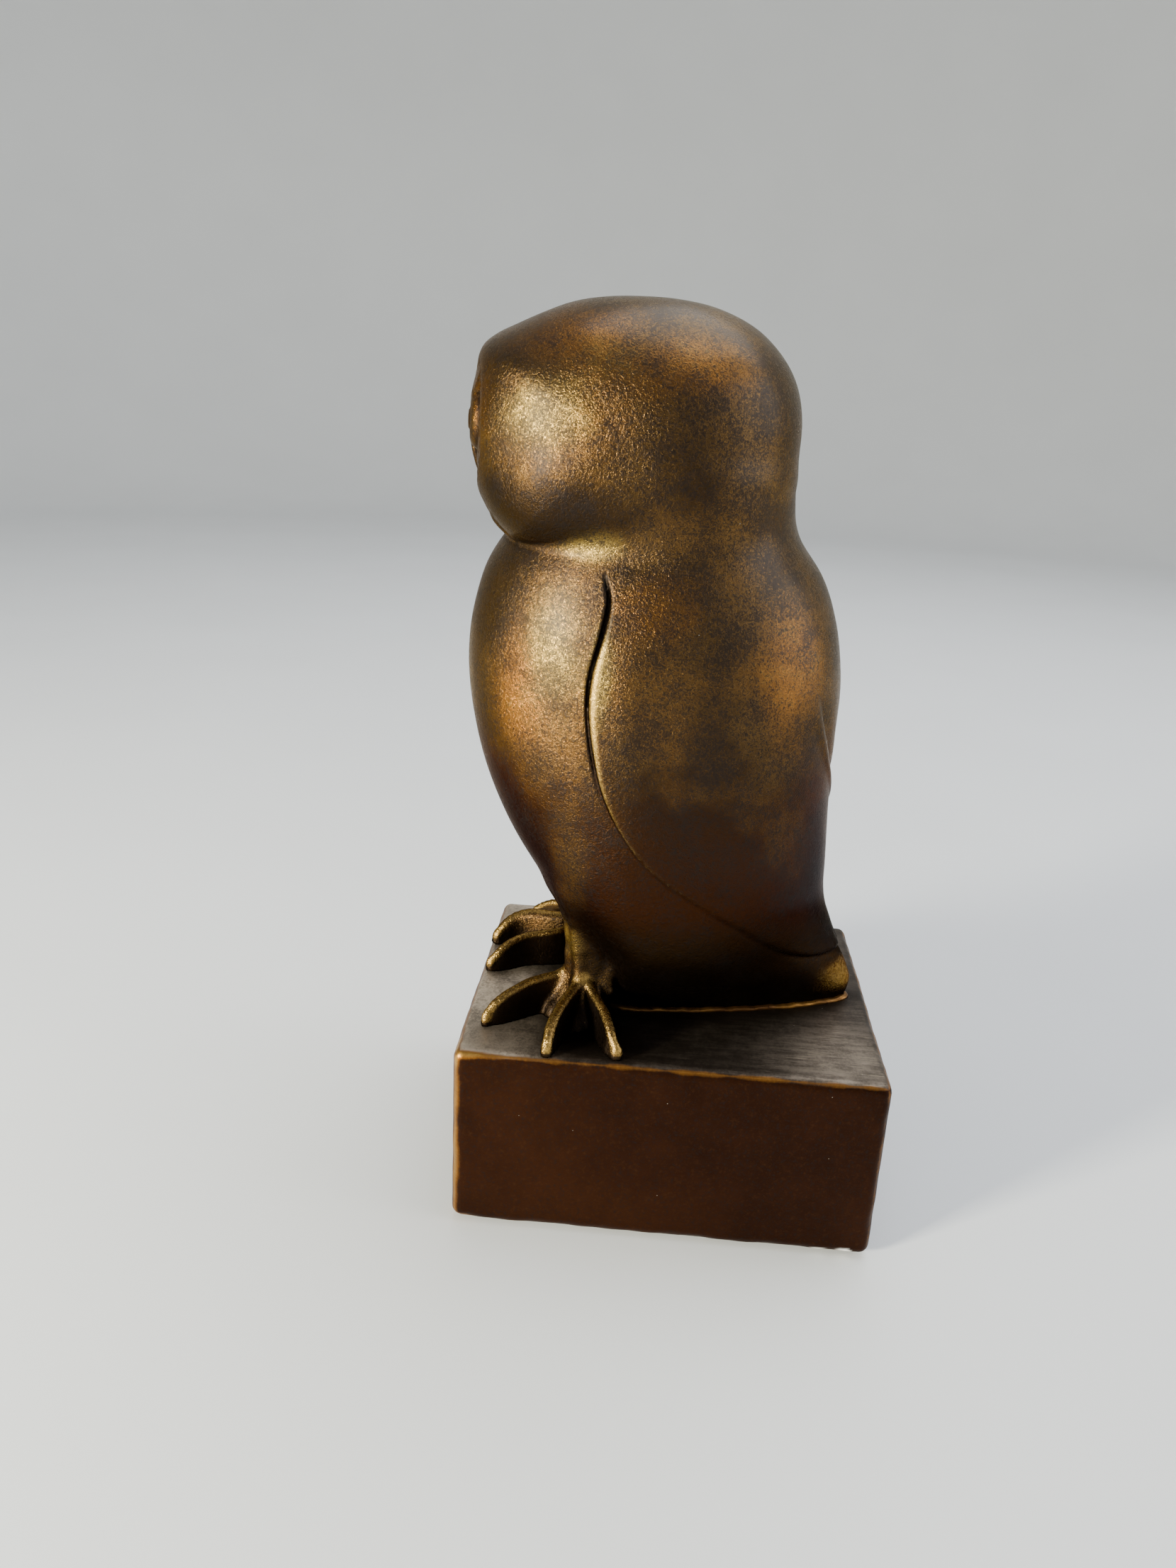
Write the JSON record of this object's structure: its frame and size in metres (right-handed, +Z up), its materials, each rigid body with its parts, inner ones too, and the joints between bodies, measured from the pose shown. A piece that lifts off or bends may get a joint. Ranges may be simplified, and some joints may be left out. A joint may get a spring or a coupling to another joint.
{
  "type": "owl figurine",
  "caption": "Stylised standing owl with folded wings and a smooth round head, perched on a rectangular plinth, with an aged bronze finish; a tabletop ornament.",
  "frame": {"origin": "middle of the plinth's outline, on the surface that the figurine stands on", "axes": "+Z up, -Y the way the owl faces, +X towards the owl's left side"},
  "size_m": [0.0908, 0.116, 0.232],
  "materials": {
    "bronze_tone_figure": "cast gypsum under a mottled metallic bronze paint, gold on the high places, dark brown in the hollows",
    "bronze_tone_plinth": "cast gypsum under dark brown paint with gold rubbed along the edges",
    "gilt_bead": "bedding compound with gold paint",
    "steel_rod": "plain mild steel",
    "hardwood_dowel": "plain",
    "felt": "black wool felt"
  },
  "bodies": {
    "root": {"owl_figure": "bronze_tone_figure", "plinth": "bronze_tone_plinth", "bedding_bead": "gilt_bead", "left_leg_rod": "steel_rod", "right_leg_rod": "steel_rod", "tail_dowel": "hardwood_dowel", "felt_pad": "felt"}
  },
  "joints": []
}
